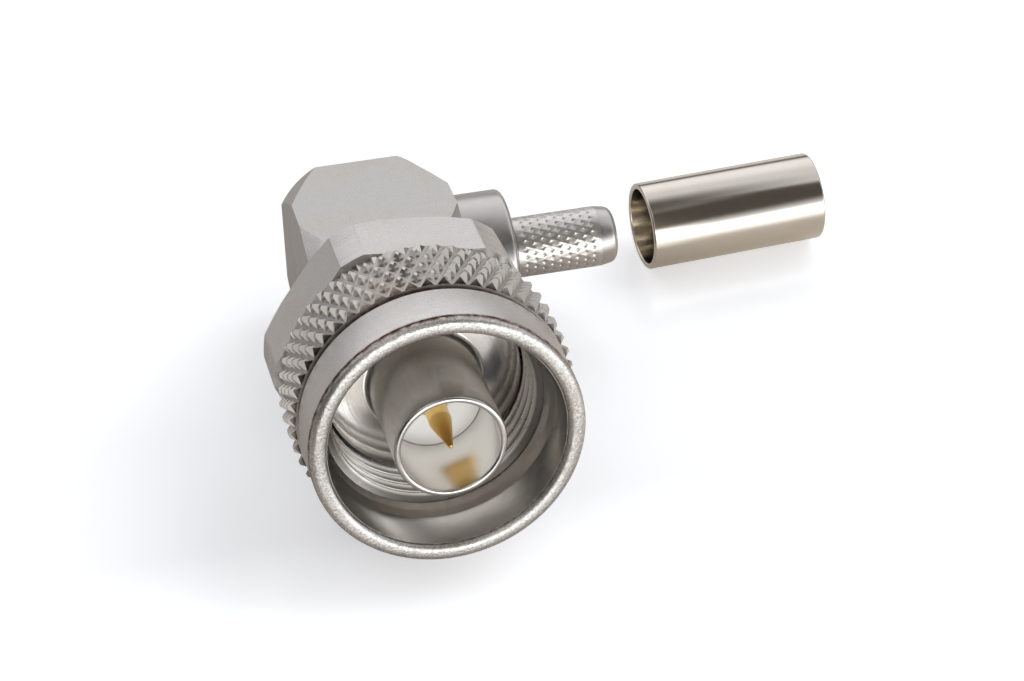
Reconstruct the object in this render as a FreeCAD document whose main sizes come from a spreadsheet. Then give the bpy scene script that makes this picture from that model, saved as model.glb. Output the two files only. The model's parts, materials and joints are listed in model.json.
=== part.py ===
import FreeCAD, Part
import math
import os
import Sketcher

# Right-angle N-type coaxial plug for a crimped cable, with its loose crimp ferrule.
# Each piece is drawn in the plug's own frame: the centre of the outer contact's tip is the
# origin, the coupling axis runs back from it along +Y, the cable leaves along +X.
# The plug is then tipped nose-up about X, as it lies on a table on its nut and its tail.

os.makedirs("parts", exist_ok=True)
doc = FreeCAD.newDocument("right_angle_plug")

SIZES = [
    # outer contact, all stations run back from its tip
    ("contact_dia", 8.05),
    ("contact_wall", 0.475),
    ("contact_bevel", 0.12),
    ("contact_root", 0.45),
    ("flange_station", 9.3),
    ("flange_clear", 0.74),
    ("flange_thick", 2.2),
    ("flange_edge", 0.3),
    ("tail_dia", 9.0),
    ("tail_length", 8.5),
    # body block, cut from square bar with both ends turned to a cone
    ("nut_rear_gap", 1.66),
    ("bar_width", 12.0),
    ("bar_rear", 6.3),
    ("bar_front", 8.2),
    ("cone_rear_run", 5.5),
    ("cone_front_run", 5.8),
    ("cone_rear_dia", 13.6),
    ("cone_front_dia", 13.47),
    ("cone_middle_dia", 16.97),
    ("shank_dia", 12.0),
    # coupling nut
    ("nut_front", 0.6),
    ("bead_width", 0.5),
    ("bead_dia", 19.7),
    ("bead_round", 0.5),
    ("bead_groove_width", 0.16),
    ("bead_groove_depth", 0.14),
    ("band_dia", 19.7),
    ("band_length", 3.75),
    ("relief_width", 0.45),
    ("relief_drop", 0.475),
    ("knurl_starts", 54),
    ("knurl_rows", 5),
    ("knurl_row_step", 1.116),
    ("knurl_root_dia", 19.85),
    ("knurl_depth", 0.61),
    ("knurl_tip_flat", 0.26),
    ("knurl_rear_drop", 0.3),
    ("hex_land_dia", 20.95),
    ("hex_flats_cut", 1.95),
    ("hex_length", 5.1),
    ("hex_bevel_run", 0.65),
    ("hex_bevel_drop", 0.8),
    ("nut_turn", 6.0),
    ("rim_wall", 1.3),
    ("mouth_depth", 3.8),
    ("step_run", 0.55),
    ("step_drop", 0.3),
    ("lead_in_run", 0.45),
    ("lead_in_drop", 0.31),
    ("nut_play", 0.4),
    ("running_gap", 0.1),
    # contact pin and insulators
    ("pin_dia", 1.64),
    ("pin_nose", 0.3),
    ("pin_setback", 0.1),
    ("pin_taper", 3.4),
    ("core_dia", 2.15),
    ("solder_slot_width", 0.9),
    ("solder_slot_depth", 1.9),
    ("pin_past_cable", 1.1),
    ("insulator_face", 6.1),
    ("rear_insulator_gap", 0.05),
    ("liner_wall", 1.2),
    ("chamber_ahead", 2.0),
    ("window_dia", 3.8),
    ("cap_thick", 1.6),
    ("cap_slot_width", 1.0),
    ("cap_slot_depth", 0.7),
    ("cap_disc_thick", 0.8),
    ("fit_gap", 0.02),
    # cable neck
    ("neck_spigot_dia", 6.0),
    ("spigot_gap", 0.05),
    ("neck_collar_dia", 9.36),
    ("neck_collar_length", 4.15),
    ("neck_collar_round", 0.45),
    ("neck_root_dia", 4.3),
    ("neck_root_length", 0.7),
    ("neck_stem_dia", 4.64),
    ("neck_stem_length", 7.65),
    ("neck_stem_edge", 0.15),
    ("neck_stem_bevel_run", 1.1),
    ("neck_stem_bevel_drop", 0.5),
    ("neck_bore", 3.1),
    # loose crimp ferrule on the table
    ("ferrule_dia", 6.85),
    ("ferrule_wall", 0.45),
    ("ferrule_length", 14.2),
    ("ferrule_edge", 0.12),
    ("ferrule_ahead", 3.75),
    ("ferrule_behind", 4.4),
    ("ferrule_turn", 2.85),
]

# sizes that follow from the ones above, so that mating pieces stay clear of each other
FOLLOWING = [
    ("contact_bore", "=contact_dia - 2 * contact_wall"),
    ("mouth_bore", "=bead_dia - 2 * rim_wall"),
    ("step_bore", "=mouth_bore - 2 * step_drop"),
    ("thread_bore", "=step_bore - 2 * lead_in_drop"),
    ("flange_dia", "=thread_bore - 2 * flange_clear"),
    ("relief_dia", "=knurl_root_dia - 2 * relief_drop"),
    ("knurl_tip_dia", "=knurl_root_dia + 2 * knurl_depth"),
    ("knurl_length", "=knurl_row_step * round(knurl_rows)"),
    ("hex_across_flats", "=hex_land_dia - hex_flats_cut"),
    ("groove_half", "=bead_groove_width / 2"),
    ("band_rear", "=nut_front + bead_width + bead_groove_width + band_length"),
    ("knurl_front", "=band_rear + relief_width"),
    ("knurl_rear", "=knurl_front + knurl_length"),
    ("nut_rear", "=knurl_rear + hex_length"),
    ("cable_station", "=nut_rear + nut_rear_gap + bar_front"),
    ("bar_half", "=bar_width / 2"),
    ("spigot_start", "=tail_dia / 2 + spigot_gap"),
    ("ferrule_bore", "=ferrule_dia - 2 * ferrule_wall"),
]

sheet = doc.addObject("Spreadsheet::Sheet", "Sizes")
for row, (alias, size) in enumerate(SIZES + FOLLOWING, start=1):
    sheet.set("A%d" % row, alias)
    sheet.set("B%d" % row, str(size))
    sheet.setAlias("B%d" % row, alias)
doc.recompute()


def size(words):
    """The value of a sum such as 'nut_front + bead_width - 0.1', read from the sheet."""
    total = 0.0
    sign = 1.0
    for word in words.split():
        if word in "+-":
            sign = 1.0 if word == "+" else -1.0
        else:
            number = word.replace(".", "", 1).isdigit()
            total += sign * (float(word) if number else float(sheet.get(word)))
            sign = 1.0
    return total


def bound(words, share=""):
    """The same sum as an expression on the sheet, with a share such as ' / 2' of it."""
    named = [w if w in "+-" or w[0].isdigit() else "Sizes." + w for w in words.split()]
    return "(" + " ".join(named) + ")" + share


def plane(body, role):
    return next(item for item in body.Origin.OriginFeatures if item.Role == role)


def new_body(label):
    body = doc.addObject("PartDesign::Body", label)
    body.Label = label
    return body


def new_sketch(body, name, role, station=None):
    """A sketch on one of the body's own planes, moved along Y to a station if one is given."""
    sketch = body.newObject("Sketcher::SketchObject", name)
    sketch.AttachmentSupport = [(plane(body, role), "")]
    sketch.MapMode = "FlatFace"
    if station:
        sketch.AttachmentOffset = FreeCAD.Placement(
            FreeCAD.Vector(0, 0, -size(station)), FreeCAD.Rotation())
        sketch.setExpression("AttachmentOffset.Base.z", "-" + bound(station))
    return sketch


def pin_point(sketch, geo, end, across, up):
    """Fixes one point of a sketch at two sums, each with its share: (words, share)."""
    for kind, axis, (words, share) in (("DistanceX", -2, across), ("DistanceY", -1, up)):
        if words == "0":
            sketch.addConstraint(Sketcher.Constraint("PointOnObject", geo, end, axis))
            continue
        amount = size(words) * {"": 1.0, " / 2": 0.5, " / -2": -0.5}[share]
        index = sketch.addConstraint(Sketcher.Constraint(kind, -1, 1, geo, end, amount))
        sketch.setExpression("Constraints[%d]" % index, bound(words, share))


def arc_between(start, stop, radius):
    """The short arc from start to stop, and whether it runs anticlockwise from start.

    A positive radius bows to the left of the way, which makes the arc run clockwise.
    """
    chord = stop - start
    side = FreeCAD.Vector(-chord.y, chord.x, 0).normalize()
    rise = math.sqrt(max(radius * radius - chord.Length ** 2 / 4, 0.0))
    centre = (start + stop) / 2 - side * math.copysign(rise, radius)
    ends = (stop, start) if radius > 0 else (start, stop)
    first, last = [math.atan2(end.y - centre.y, end.x - centre.x) for end in ends]
    if last < first:
        last += 2 * math.pi
    ring = Part.Circle(centre, FreeCAD.Vector(0, 0, 1), abs(radius))
    return Part.ArcOfCircle(ring, first, last), radius < 0


def outline(sketch, points):
    """A closed outline of (along, across, bow) points, where across is a diameter.

    A point's bow, if it isn't empty, is the sum that gives the radius of the arc from that
    point to the next, led by '<' when it bows to the left of the way and '>' when to the right.
    """
    places = [FreeCAD.Vector(size(along), size(across) / 2, 0) for along, across, bow in points]
    ends = []
    for number, (along, across, bow) in enumerate(points):
        start, stop = places[number], places[(number + 1) % len(points)]
        if not bow:
            geo = sketch.addGeometry(Part.LineSegment(start, stop), False)
            ends.append((geo, 1, 2))
            continue
        radius = size(bow[1:]) * (1 if bow[0] == "<" else -1)
        arc, forward = arc_between(start, stop, radius)
        geo = sketch.addGeometry(arc, False)
        ends.append((geo, 1, 2) if forward else (geo, 2, 1))
    for number, (geo, first, last) in enumerate(ends):
        after = ends[(number + 1) % len(ends)]
        sketch.addConstraint(Sketcher.Constraint("Coincident", geo, last, after[0], after[1]))
    for number, (along, across, bow) in enumerate(points):
        geo, first, last = ends[number]
        pin_point(sketch, geo, first, (along, ""), (across, " / 2"))
        if bow:
            index = sketch.addConstraint(Sketcher.Constraint("Radius", geo, abs(size(bow[1:]))))
            sketch.setExpression("Constraints[%d]" % index, bound(bow[1:]))


def turned(body, name, role, points, cut=False):
    """A revolution, or a groove, of an outline about the plane's level axis."""
    sketch = new_sketch(body, name + "_outline", role)
    outline(sketch, points)
    kind = "PartDesign::Groove" if cut else "PartDesign::Revolution"
    feature = body.newObject(kind, name)
    feature.Profile = sketch
    feature.ReferenceAxis = (sketch, ["H_Axis"])
    feature.Angle = 360
    return feature


def circle(sketch, diameter, across="0", up="0"):
    centre = FreeCAD.Vector(size(across), size(up), 0)
    geo = sketch.addGeometry(Part.Circle(centre, FreeCAD.Vector(0, 0, 1), size(diameter) / 2), False)
    index = sketch.addConstraint(Sketcher.Constraint("Diameter", geo, size(diameter)))
    sketch.setExpression("Constraints[%d]" % index, bound(diameter))
    pin_point(sketch, geo, 3, (across, ""), (up, ""))
    return geo


def rectangle(sketch, across, up):
    """A rectangle from its low and high sides; each side is a sum and the share of it taken."""
    corners = [(across[0], up[0]), (across[1], up[0]), (across[1], up[1]), (across[0], up[1])]

    def amount(side):
        words, share = side
        return size(words) * {"": 1, " / 2": 0.5, " / -2": -0.5}[share]

    spots = [FreeCAD.Vector(amount(level), amount(height), 0) for level, height in corners]
    for number in range(4):
        sketch.addGeometry(Part.LineSegment(spots[number], spots[(number + 1) % 4]), False)
    for number in range(4):
        sketch.addConstraint(Sketcher.Constraint("Coincident", number, 2, (number + 1) % 4, 1))
    for number, (level, height) in enumerate(corners):
        pin_point(sketch, number, 1, level, height)


def halves(words):
    """The two sides of something centred on an axis, for a rectangle."""
    return (words, " / -2"), (words, " / 2")


def cut_through(body, name, sketch, length, reverse):
    """A pocket of a stated length; the volume must fall, or it pointed away from the solid."""
    doc.recompute()
    before = body.Shape.Volume
    pocket = body.newObject("PartDesign::Pocket", name)
    pocket.Profile = sketch
    pocket.Length = size(length)
    pocket.setExpression("Length", bound(length))
    pocket.Reversed = reverse
    doc.recompute()
    if not body.Shape.Volume < before - 1e-4:
        raise RuntimeError("the cut %s removed nothing" % name)
    return pocket


def make_body_block():
    """Square bar with both ends turned to a cone, a turned shank for the nut, and its bores."""
    body = new_body("body_block")
    bar = new_sketch(body, "bar_section", "XZ_Plane", "cable_station + bar_rear")
    rectangle(bar, halves("bar_width"), halves("bar_width"))
    block = body.newObject("PartDesign::Pad", "bar")
    block.Profile = bar
    block.Length = size("bar_rear + bar_front")
    block.setExpression("Length", bound("bar_rear + bar_front"))
    # the corners of the bar are turned down towards both of its ends
    turned(body, "end_cones", "YZ_Plane", [
        ("cable_station - bar_front", "cone_front_dia", ""),
        ("cable_station - bar_front + cone_front_run", "cone_middle_dia", ""),
        ("cable_station + bar_rear - cone_rear_run", "cone_middle_dia", ""),
        ("cable_station + bar_rear", "cone_rear_dia", ""),
        ("cable_station + bar_rear", "bar_width + bar_width", ""),
        ("cable_station - bar_front", "bar_width + bar_width", ""),
    ], cut=True)
    turned(body, "shank", "YZ_Plane", [
        ("flange_station + flange_thick", "tail_dia + fit_gap + fit_gap", ""),
        ("flange_station + flange_thick", "shank_dia", ""),
        ("cable_station - bar_front + 1", "shank_dia", ""),
        ("cable_station - bar_front + 1", "tail_dia + fit_gap + fit_gap", ""),
    ])
    bore = new_sketch(body, "through_bore_section", "XZ_Plane", "cable_station + bar_rear")
    circle(bore, "tail_dia + fit_gap + fit_gap")
    cut_through(body, "through_bore", bore, "bar_rear + bar_front", True)
    side = new_sketch(body, "side_bore_section", "YZ_Plane")
    circle(side, "neck_spigot_dia + fit_gap + fit_gap", "cable_station")
    cut_through(body, "side_bore", side, "bar_width", True)
    return body


def make_outer_contact():
    body = new_body("outer_contact")
    turned(body, "contact_turning", "YZ_Plane", [
        ("contact_bevel", "contact_bore", ""),
        ("0", "contact_bore + contact_bevel", ""),
        ("0", "contact_dia - contact_bevel - contact_bevel", ""),
        ("contact_bevel", "contact_dia", ""),
        ("flange_station - contact_root", "contact_dia", ">contact_root"),
        ("flange_station", "contact_dia + contact_root + contact_root", ""),
        ("flange_station", "flange_dia - flange_edge - flange_edge", "<flange_edge"),
        ("flange_station + flange_edge", "flange_dia", ""),
        ("flange_station + flange_thick", "flange_dia", ""),
        ("flange_station + flange_thick", "tail_dia", ""),
        ("flange_station + flange_thick + tail_length", "tail_dia", ""),
        ("flange_station + flange_thick + tail_length", "contact_bore", ""),
    ])
    return body


def make_nut_core():
    """The coupling nut without its knurl: rim bead, band, hexagon, mouth, thread and seat."""
    body = new_body("nut_core")
    seat = "flange_station + flange_thick + nut_play"
    turned(body, "nut_turning", "YZ_Plane", [
        ("nut_front + bead_round", "mouth_bore", "<bead_round"),
        ("nut_front", "mouth_bore + bead_round + bead_round", ""),
        ("nut_front", "bead_dia - bead_round - bead_round", "<bead_round"),
        ("nut_front + bead_round", "bead_dia", ""),
        ("nut_front + bead_width + groove_half",
         "bead_dia - bead_groove_depth - bead_groove_depth", ""),
        ("nut_front + bead_width + bead_groove_width", "band_dia", ""),
        ("band_rear", "band_dia", ""),
        ("band_rear", "relief_dia", ""),
        ("knurl_rear", "relief_dia", ""),
        ("knurl_rear", "hex_land_dia", ""),
        ("nut_rear - hex_bevel_run", "hex_land_dia", ""),
        ("nut_rear", "hex_land_dia - hex_bevel_drop - hex_bevel_drop", ""),
        ("nut_rear", "shank_dia + running_gap + running_gap", ""),
        (seat, "shank_dia + running_gap + running_gap", ""),
        (seat, "thread_bore", ""),
        ("nut_front + mouth_depth + step_run + lead_in_run", "thread_bore", ""),
        ("nut_front + mouth_depth + step_run", "step_bore", ""),
        ("nut_front + mouth_depth", "mouth_bore", ""),
    ])
    flats = new_sketch(body, "hexagon", "XZ_Plane", "nut_rear")
    circle(flats, "hex_land_dia + 3")
    reach = size("hex_across_flats") / 2 / math.cos(math.pi / 6)
    turns = [math.radians(30 + 60 * side + size("nut_turn")) for side in range(6)]
    corners = [FreeCAD.Vector(reach * math.sin(turn), reach * math.cos(turn), 0) for turn in turns]
    for side in range(6):
        flats.addGeometry(Part.LineSegment(corners[side], corners[(side + 1) % 6]), False)
    for side in range(6):
        flats.addConstraint(
            Sketcher.Constraint("Coincident", side + 1, 2, (side + 1) % 6 + 1, 1))
    for side in range(6):
        angle = "((%d + Sizes.nut_turn) * 1 deg)" % (30 + 60 * side)
        spread = "Sizes.hex_across_flats / 2 / cos(30 deg) * "
        for kind, part, place in (("DistanceX", "sin", corners[side].x),
                                  ("DistanceY", "cos", corners[side].y)):
            index = flats.addConstraint(Sketcher.Constraint(kind, -1, 1, side + 1, 1, place))
            flats.setExpression("Constraints[%d]" % index, spread + part + angle)
    cut_through(body, "hex_flats", flats, "hex_length", True)
    return body


def make_knurl():
    """The diamond knurl as a ring of blunt pyramids, whose rhombic feet share their corners.

    The front row is cut off by the relief, and the rear row runs out lower, as rolled knurls do.
    """
    starts = int(round(size("knurl_starts")))
    rows = int(round(size("knurl_rows")))
    root, tip = size("knurl_root_dia") / 2, size("knurl_tip_dia") / 2
    step = size("knurl_row_step")
    front = size("knurl_front")
    half_angle = math.pi / starts
    faces = []

    def foot(row, column):
        angle = column * half_angle
        return FreeCAD.Vector(root * math.sin(angle), front + row * step, root * math.cos(angle))

    def face(*corners):
        faces.append(Part.Face(Part.makePolygon(list(corners) + [corners[0]])))

    def pyramid(row, column):
        angle = column * half_angle
        out = FreeCAD.Vector(math.sin(angle), 0, math.cos(angle))
        crest = tip - size("knurl_rear_drop") if row == rows else tip
        peak = out * crest + FreeCAD.Vector(0, front + row * step, 0)
        feet = [foot(row, column - 1), foot(row - 1, column),
                foot(row, column + 1), foot(row + 1, column)]
        top = []
        for low in feet:
            share = (crest - root) * size("knurl_tip_flat") / (crest - low.dot(out))
            top.append(peak + (low - peak) * share)
        whole = {0: [2, 3], rows: [0, 1]}.get(row, [0, 1, 2, 3])
        for number in whole:
            after = (number + 1) % 4
            face(feet[number], feet[after], top[after], top[number])
        if len(whole) == 4:
            face(*top)
        else:
            three = [top[whole[0]], top[whole[1]], top[(whole[1] + 1) % 4]]
            face(*three)
        return feet, top

    front_edge, rear_edge = [], []
    for row in range(rows + 1):
        for turn in range(starts):
            column = 2 * turn + row % 2
            feet, top = pyramid(row, column)
            if row == 0:
                front_edge += [feet[0], top[0], top[2]]
            if row == rows:
                rear_edge += [feet[0], top[0], top[2]]
    hole = size("relief_dia + thread_bore") / 4
    axis = FreeCAD.Vector(0, 1, 0)
    length = size("knurl_length")
    for station, edge in ((front, front_edge), (front + length, rear_edge)):
        rim = Part.makePolygon(edge + [edge[0]])
        ring = Part.Wire(Part.makeCircle(hole, FreeCAD.Vector(0, station, 0), axis))
        faces.append(Part.Face(rim).cut(Part.Face(ring)).Faces[0])
    inside = Part.makeCylinder(hole, length, FreeCAD.Vector(0, front, 0), axis)
    faces += [item for item in inside.Faces if item.Surface.TypeId == "Part::GeomCylinder"]
    shell = Part.makeShell(faces)
    shell.sewShape(1e-5)
    solid = Part.Solid(shell if shell.ShapeType == "Shell" else shell.Shells[0])
    if solid.Volume < 0:
        solid.reverse()
    knurl = doc.addObject("Part::Feature", "knurl_ring")
    knurl.Label = "knurl_ring"
    knurl.Shape = solid
    return knurl


def make_coupling_nut():
    core = make_nut_core()
    knurl = make_knurl()
    nut = doc.addObject("Part::Fuse", "coupling_nut")
    nut.Label = "coupling_nut"
    nut.Base = core
    nut.Tool = knurl
    nut.Refine = False
    return nut


def make_front_insulator():
    """The bead that fills the outer contact from its recessed face to its tail."""
    body = new_body("front_insulator")
    rear = "flange_station + flange_thick + tail_length"
    turned(body, "bead_turning", "YZ_Plane", [
        ("insulator_face", "core_dia + fit_gap + fit_gap", ""),
        ("insulator_face", "contact_bore - fit_gap - fit_gap", ""),
        (rear, "contact_bore - fit_gap - fit_gap", ""),
        (rear, "core_dia + fit_gap + fit_gap", ""),
    ])
    return body


def make_centre_pin():
    """The contact pin: a taper, a plain shaft, and a thicker core with a slot for the cable."""
    body = new_body("centre_pin")
    turned(body, "pin_turning", "YZ_Plane", [
        ("pin_setback", "0", ""),
        ("pin_setback", "pin_nose", ""),
        ("pin_setback + pin_taper", "pin_dia", ""),
        ("insulator_face", "pin_dia", ""),
        ("insulator_face", "core_dia", ""),
        ("cable_station + pin_past_cable", "core_dia", ""),
        ("cable_station + pin_past_cable", "0", ""),
    ])
    slot = new_sketch(body, "solder_slot_section", "XY_Plane")
    end = "cable_station + pin_past_cable"
    rectangle(slot, halves("solder_slot_width"),
              ((end + " - solder_slot_depth", ""), (end + " + 1", "")))
    doc.recompute()
    before = body.Shape.Volume
    pocket = body.newObject("PartDesign::Pocket", "solder_slot")
    pocket.Profile = slot
    pocket.Midplane = True
    pocket.Length = size("core_dia + 1")
    pocket.setExpression("Length", bound("core_dia + 1"))
    doc.recompute()
    if not body.Shape.Volume < before - 1e-4:
        raise RuntimeError("the solder slot removed nothing")
    return body


CAP_FACE = "cable_station + bar_rear - cap_thick"
DISC_FACE = CAP_FACE + " - cap_disc_thick"


def make_rear_insulator():
    """The liner of the corner chamber, open to the cable side."""
    body = new_body("rear_insulator")
    front = "flange_station + flange_thick + tail_length + rear_insulator_gap"
    turned(body, "liner_turning", "YZ_Plane", [
        (front, "core_dia + fit_gap + fit_gap", ""),
        (front, "tail_dia", ""),
        (DISC_FACE, "tail_dia", ""),
        (DISC_FACE, "tail_dia - liner_wall - liner_wall", ""),
        ("cable_station - chamber_ahead", "tail_dia - liner_wall - liner_wall", ""),
        ("cable_station - chamber_ahead", "core_dia + fit_gap + fit_gap", ""),
    ])
    side = new_sketch(body, "cable_window_section", "YZ_Plane")
    circle(side, "window_dia", "cable_station")
    cut_through(body, "cable_window", side, "tail_dia", True)
    return body


def make_disc(label, low, high, diameter):
    body = new_body(label)
    turned(body, label + "_turning", "YZ_Plane", [
        (low, "0", ""),
        (low, diameter, ""),
        (high, diameter, ""),
        (high, "0", ""),
    ])
    return body


def make_rear_cap():
    """The pressed plug that closes the solder chamber, with a slot across it."""
    rear = "cable_station + bar_rear"
    body = make_disc("rear_cap", CAP_FACE, rear, "tail_dia")
    slot = new_sketch(body, "cap_slot_section", "XZ_Plane", rear)
    rectangle(slot, halves("tail_dia + 1"), halves("cap_slot_width"))
    cut_through(body, "cap_slot", slot, "cap_slot_depth", True)
    return body


def make_cable_neck():
    """Collar and crimp stem, turned about the cable's axis and pressed into the side bore."""
    body = new_body("cable_neck")
    collar_end = "bar_half + neck_collar_length"
    stem = collar_end + " + neck_root_length"
    stem_end = stem + " + neck_stem_length"
    turned(body, "neck_turning", "XY_Plane", [
        ("spigot_start", "neck_bore", ""),
        ("spigot_start", "neck_spigot_dia", ""),
        ("bar_half", "neck_spigot_dia", ""),
        ("bar_half", "neck_collar_dia", ""),
        (collar_end + " - neck_collar_round", "neck_collar_dia", "<neck_collar_round"),
        (collar_end, "neck_collar_dia - neck_collar_round - neck_collar_round", ""),
        (collar_end, "neck_root_dia", ""),
        (stem, "neck_root_dia", ""),
        (stem + " + neck_stem_edge", "neck_stem_dia", ""),
        (stem_end + " - neck_stem_bevel_run", "neck_stem_dia", ""),
        (stem_end, "neck_stem_dia - neck_stem_bevel_drop - neck_stem_bevel_drop", ""),
        (stem_end, "neck_bore", ""),
    ])
    return body


def make_ferrule():
    body = new_body("crimp_ferrule")
    turned(body, "ferrule_turning", "XY_Plane", [
        ("0", "ferrule_bore + ferrule_edge", ""),
        ("0", "ferrule_dia - ferrule_edge", ""),
        ("ferrule_edge", "ferrule_dia", ""),
        ("ferrule_length - ferrule_edge", "ferrule_dia", ""),
        ("ferrule_length", "ferrule_dia - ferrule_edge", ""),
        ("ferrule_length", "ferrule_bore + ferrule_edge", ""),
        ("ferrule_length - ferrule_edge", "ferrule_bore", ""),
        ("ferrule_edge", "ferrule_bore", ""),
    ])
    return body


def table_contact():
    """The nose-up tilt in degrees, and how far the table lies below the contact's tip.

    The tail touches with the block's lower rear edge. The nut touches with whichever of its
    rear rings, the knurl's last two rows or the hexagon's lowest land, asks for the most tilt.
    """
    tail = (size("cable_station + bar_rear"), -size("bar_width") / 2)
    knurl_rear = size("knurl_rear")
    land_rear = knurl_rear + size("hex_length - hex_bevel_run")
    land_radius = size("hex_land_dia") / 2
    flat_half = math.acos(size("hex_across_flats") / 2 / land_radius)
    lowest = abs(math.degrees(flat_half) - abs(size("nut_turn")))
    land_low = -land_radius * math.cos(math.radians(lowest))
    tips = size("knurl_tip_dia") / 2
    rings = [(knurl_rear, size("knurl_rear_drop") - tips),
             (knurl_rear - size("knurl_row_step"), -tips), (land_rear, land_low)]
    tilt = max(math.atan2(tail[1] - low, tail[0] - station) for station, low in rings)
    drop = -(-tail[0] * math.sin(tilt) + tail[1] * math.cos(tilt))
    return math.degrees(tilt), drop


builders = [make_body_block, make_outer_contact, make_coupling_nut, make_front_insulator,
            make_centre_pin, make_rear_insulator, make_rear_cap, make_cable_neck]
plug = [build() for build in builders]
plug.append(make_disc("cap_insulator", DISC_FACE, CAP_FACE, "tail_dia"))
neck = next(item for item in plug if item.Label == "cable_neck")
ferrule = make_ferrule()
doc.recompute()

tilt, drop = table_contact()
tipped = FreeCAD.Placement(FreeCAD.Vector(), FreeCAD.Rotation(FreeCAD.Vector(1, 0, 0), -tilt))
at_cable = FreeCAD.Placement(FreeCAD.Vector(0, size("cable_station"), 0), FreeCAD.Rotation())
for item in plug:
    item.Placement = tipped.multiply(at_cable) if item is neck else tipped
neck_axis = tipped.multVec(FreeCAD.Vector(0, size("cable_station"), 0))
stem_reach = size("bar_half + neck_collar_length + neck_root_length + neck_stem_length")
ferrule.Placement = FreeCAD.Placement(
    FreeCAD.Vector(stem_reach + size("ferrule_ahead"), neck_axis.y + size("ferrule_behind"),
                   -drop + size("ferrule_dia") / 2),
    FreeCAD.Rotation(FreeCAD.Vector(0, 0, 1), size("ferrule_turn")))
doc.recompute()

for item in doc.Objects:
    if "Invalid" in item.State or "Error" in item.State:
        raise RuntimeError("%s did not build: %s" % (item.Label, item.State))
for item in plug + [ferrule]:
    shape = item.Shape
    if shape.isNull() or not shape.isValid() or len(shape.Solids) != 1:
        raise RuntimeError("%s is not one sound solid" % item.Label)
    shape.exportStep("parts/%s.step" % item.Label)
    print("%-18s volume %9.2f  faces %5d" % (item.Label, shape.Volume, len(shape.Faces)))
print("tilt %.2f  table %.3f below the tip" % (tilt, drop))
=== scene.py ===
import json
import math
from types import SimpleNamespace

import bmesh
import bpy
from mathutils import Matrix, Vector


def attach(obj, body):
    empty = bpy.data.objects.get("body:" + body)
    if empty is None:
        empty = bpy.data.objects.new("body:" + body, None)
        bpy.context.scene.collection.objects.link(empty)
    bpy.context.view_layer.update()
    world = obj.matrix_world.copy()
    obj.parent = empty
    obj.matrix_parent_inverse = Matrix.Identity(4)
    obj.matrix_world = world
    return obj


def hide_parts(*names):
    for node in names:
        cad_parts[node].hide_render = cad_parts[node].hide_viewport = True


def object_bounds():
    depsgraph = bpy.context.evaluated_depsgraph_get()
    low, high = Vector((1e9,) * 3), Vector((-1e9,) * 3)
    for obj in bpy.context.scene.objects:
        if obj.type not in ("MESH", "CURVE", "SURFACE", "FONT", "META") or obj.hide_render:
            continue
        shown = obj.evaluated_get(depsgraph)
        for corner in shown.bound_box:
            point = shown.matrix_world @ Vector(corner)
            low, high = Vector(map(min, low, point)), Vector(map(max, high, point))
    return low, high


bl_info = {
    "name": "Right-angle coaxial plug",
    "version": (1, 0, 0),
    "blender": (4, 5, 0),
    "location": "View3D > Sidebar > Plug",
    "description": "Builds the visible pieces of a right-angle coaxial plug and its crimp ferrule",
    "category": "Object",
}

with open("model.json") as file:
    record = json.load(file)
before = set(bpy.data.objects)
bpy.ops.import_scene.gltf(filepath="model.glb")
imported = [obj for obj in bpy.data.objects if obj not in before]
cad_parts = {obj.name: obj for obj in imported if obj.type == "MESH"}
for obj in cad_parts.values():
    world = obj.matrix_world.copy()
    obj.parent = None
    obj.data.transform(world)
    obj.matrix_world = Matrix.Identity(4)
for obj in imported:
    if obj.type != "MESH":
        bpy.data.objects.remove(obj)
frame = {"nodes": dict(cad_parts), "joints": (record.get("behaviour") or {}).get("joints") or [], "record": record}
CAD_BOX = [list(corner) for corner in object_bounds()]

MM = 0.001

# The plug is drawn with its coupling axis along Y, in millimetres from the contact's tip.
MATE = Vector(frame["joints"][0]["axis"]).normalized()
ACROSS = Vector((1, 0, 0))
UPWARD = ACROSS.cross(-MATE)
PLUG = Matrix((ACROSS, -MATE, UPWARD)).transposed().to_4x4() @ Matrix.Scale(MM, 4)
TILT = math.atan2(UPWARD.y, UPWARD.z)


# Small tools for meshes. Their lengths are in millimetres.

SEAM = 1e-5  # corners nearer than this are merged after a spin
CUT = 1e-5  # corners nearer than this to a cutting plane are on it


def rounded(points, steps=5):
    """A closed outline from (along, out, radius) corners, with an arc at each radius."""
    outline = []
    for number, (along, out, radius) in enumerate(points):
        corner = Vector((along, out))
        if not radius:
            outline.append(corner)
            continue
        before = (Vector(points[number - 1][:2]) - corner).normalized()
        after = (Vector(points[(number + 1) % len(points)][:2]) - corner).normalized()
        half = before.angle(after) / 2
        reach = radius / math.tan(half)
        centre = corner + (before + after).normalized() * (radius / math.sin(half))
        first, last = corner + before * reach - centre, corner + after * reach - centre
        turn = first.angle_signed(last)
        for step in range(steps + 1):
            arm = first.copy()
            arm.rotate(Matrix.Rotation(-turn * step / steps, 2))
            outline.append(centre + arm)
    return outline


def everything(mesh):
    """All the corners, edges and faces of a mesh, as its operators take them."""
    return mesh.verts[:] + mesh.edges[:] + mesh.faces[:]


def closed_line(mesh, spots):
    """Draws a closed line through the spots, for a spin to sweep."""
    ring = [mesh.verts.new(spot) for spot in spots]
    for number in range(len(ring)):
        mesh.edges.new((ring[number - 1], ring[number]))


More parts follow.
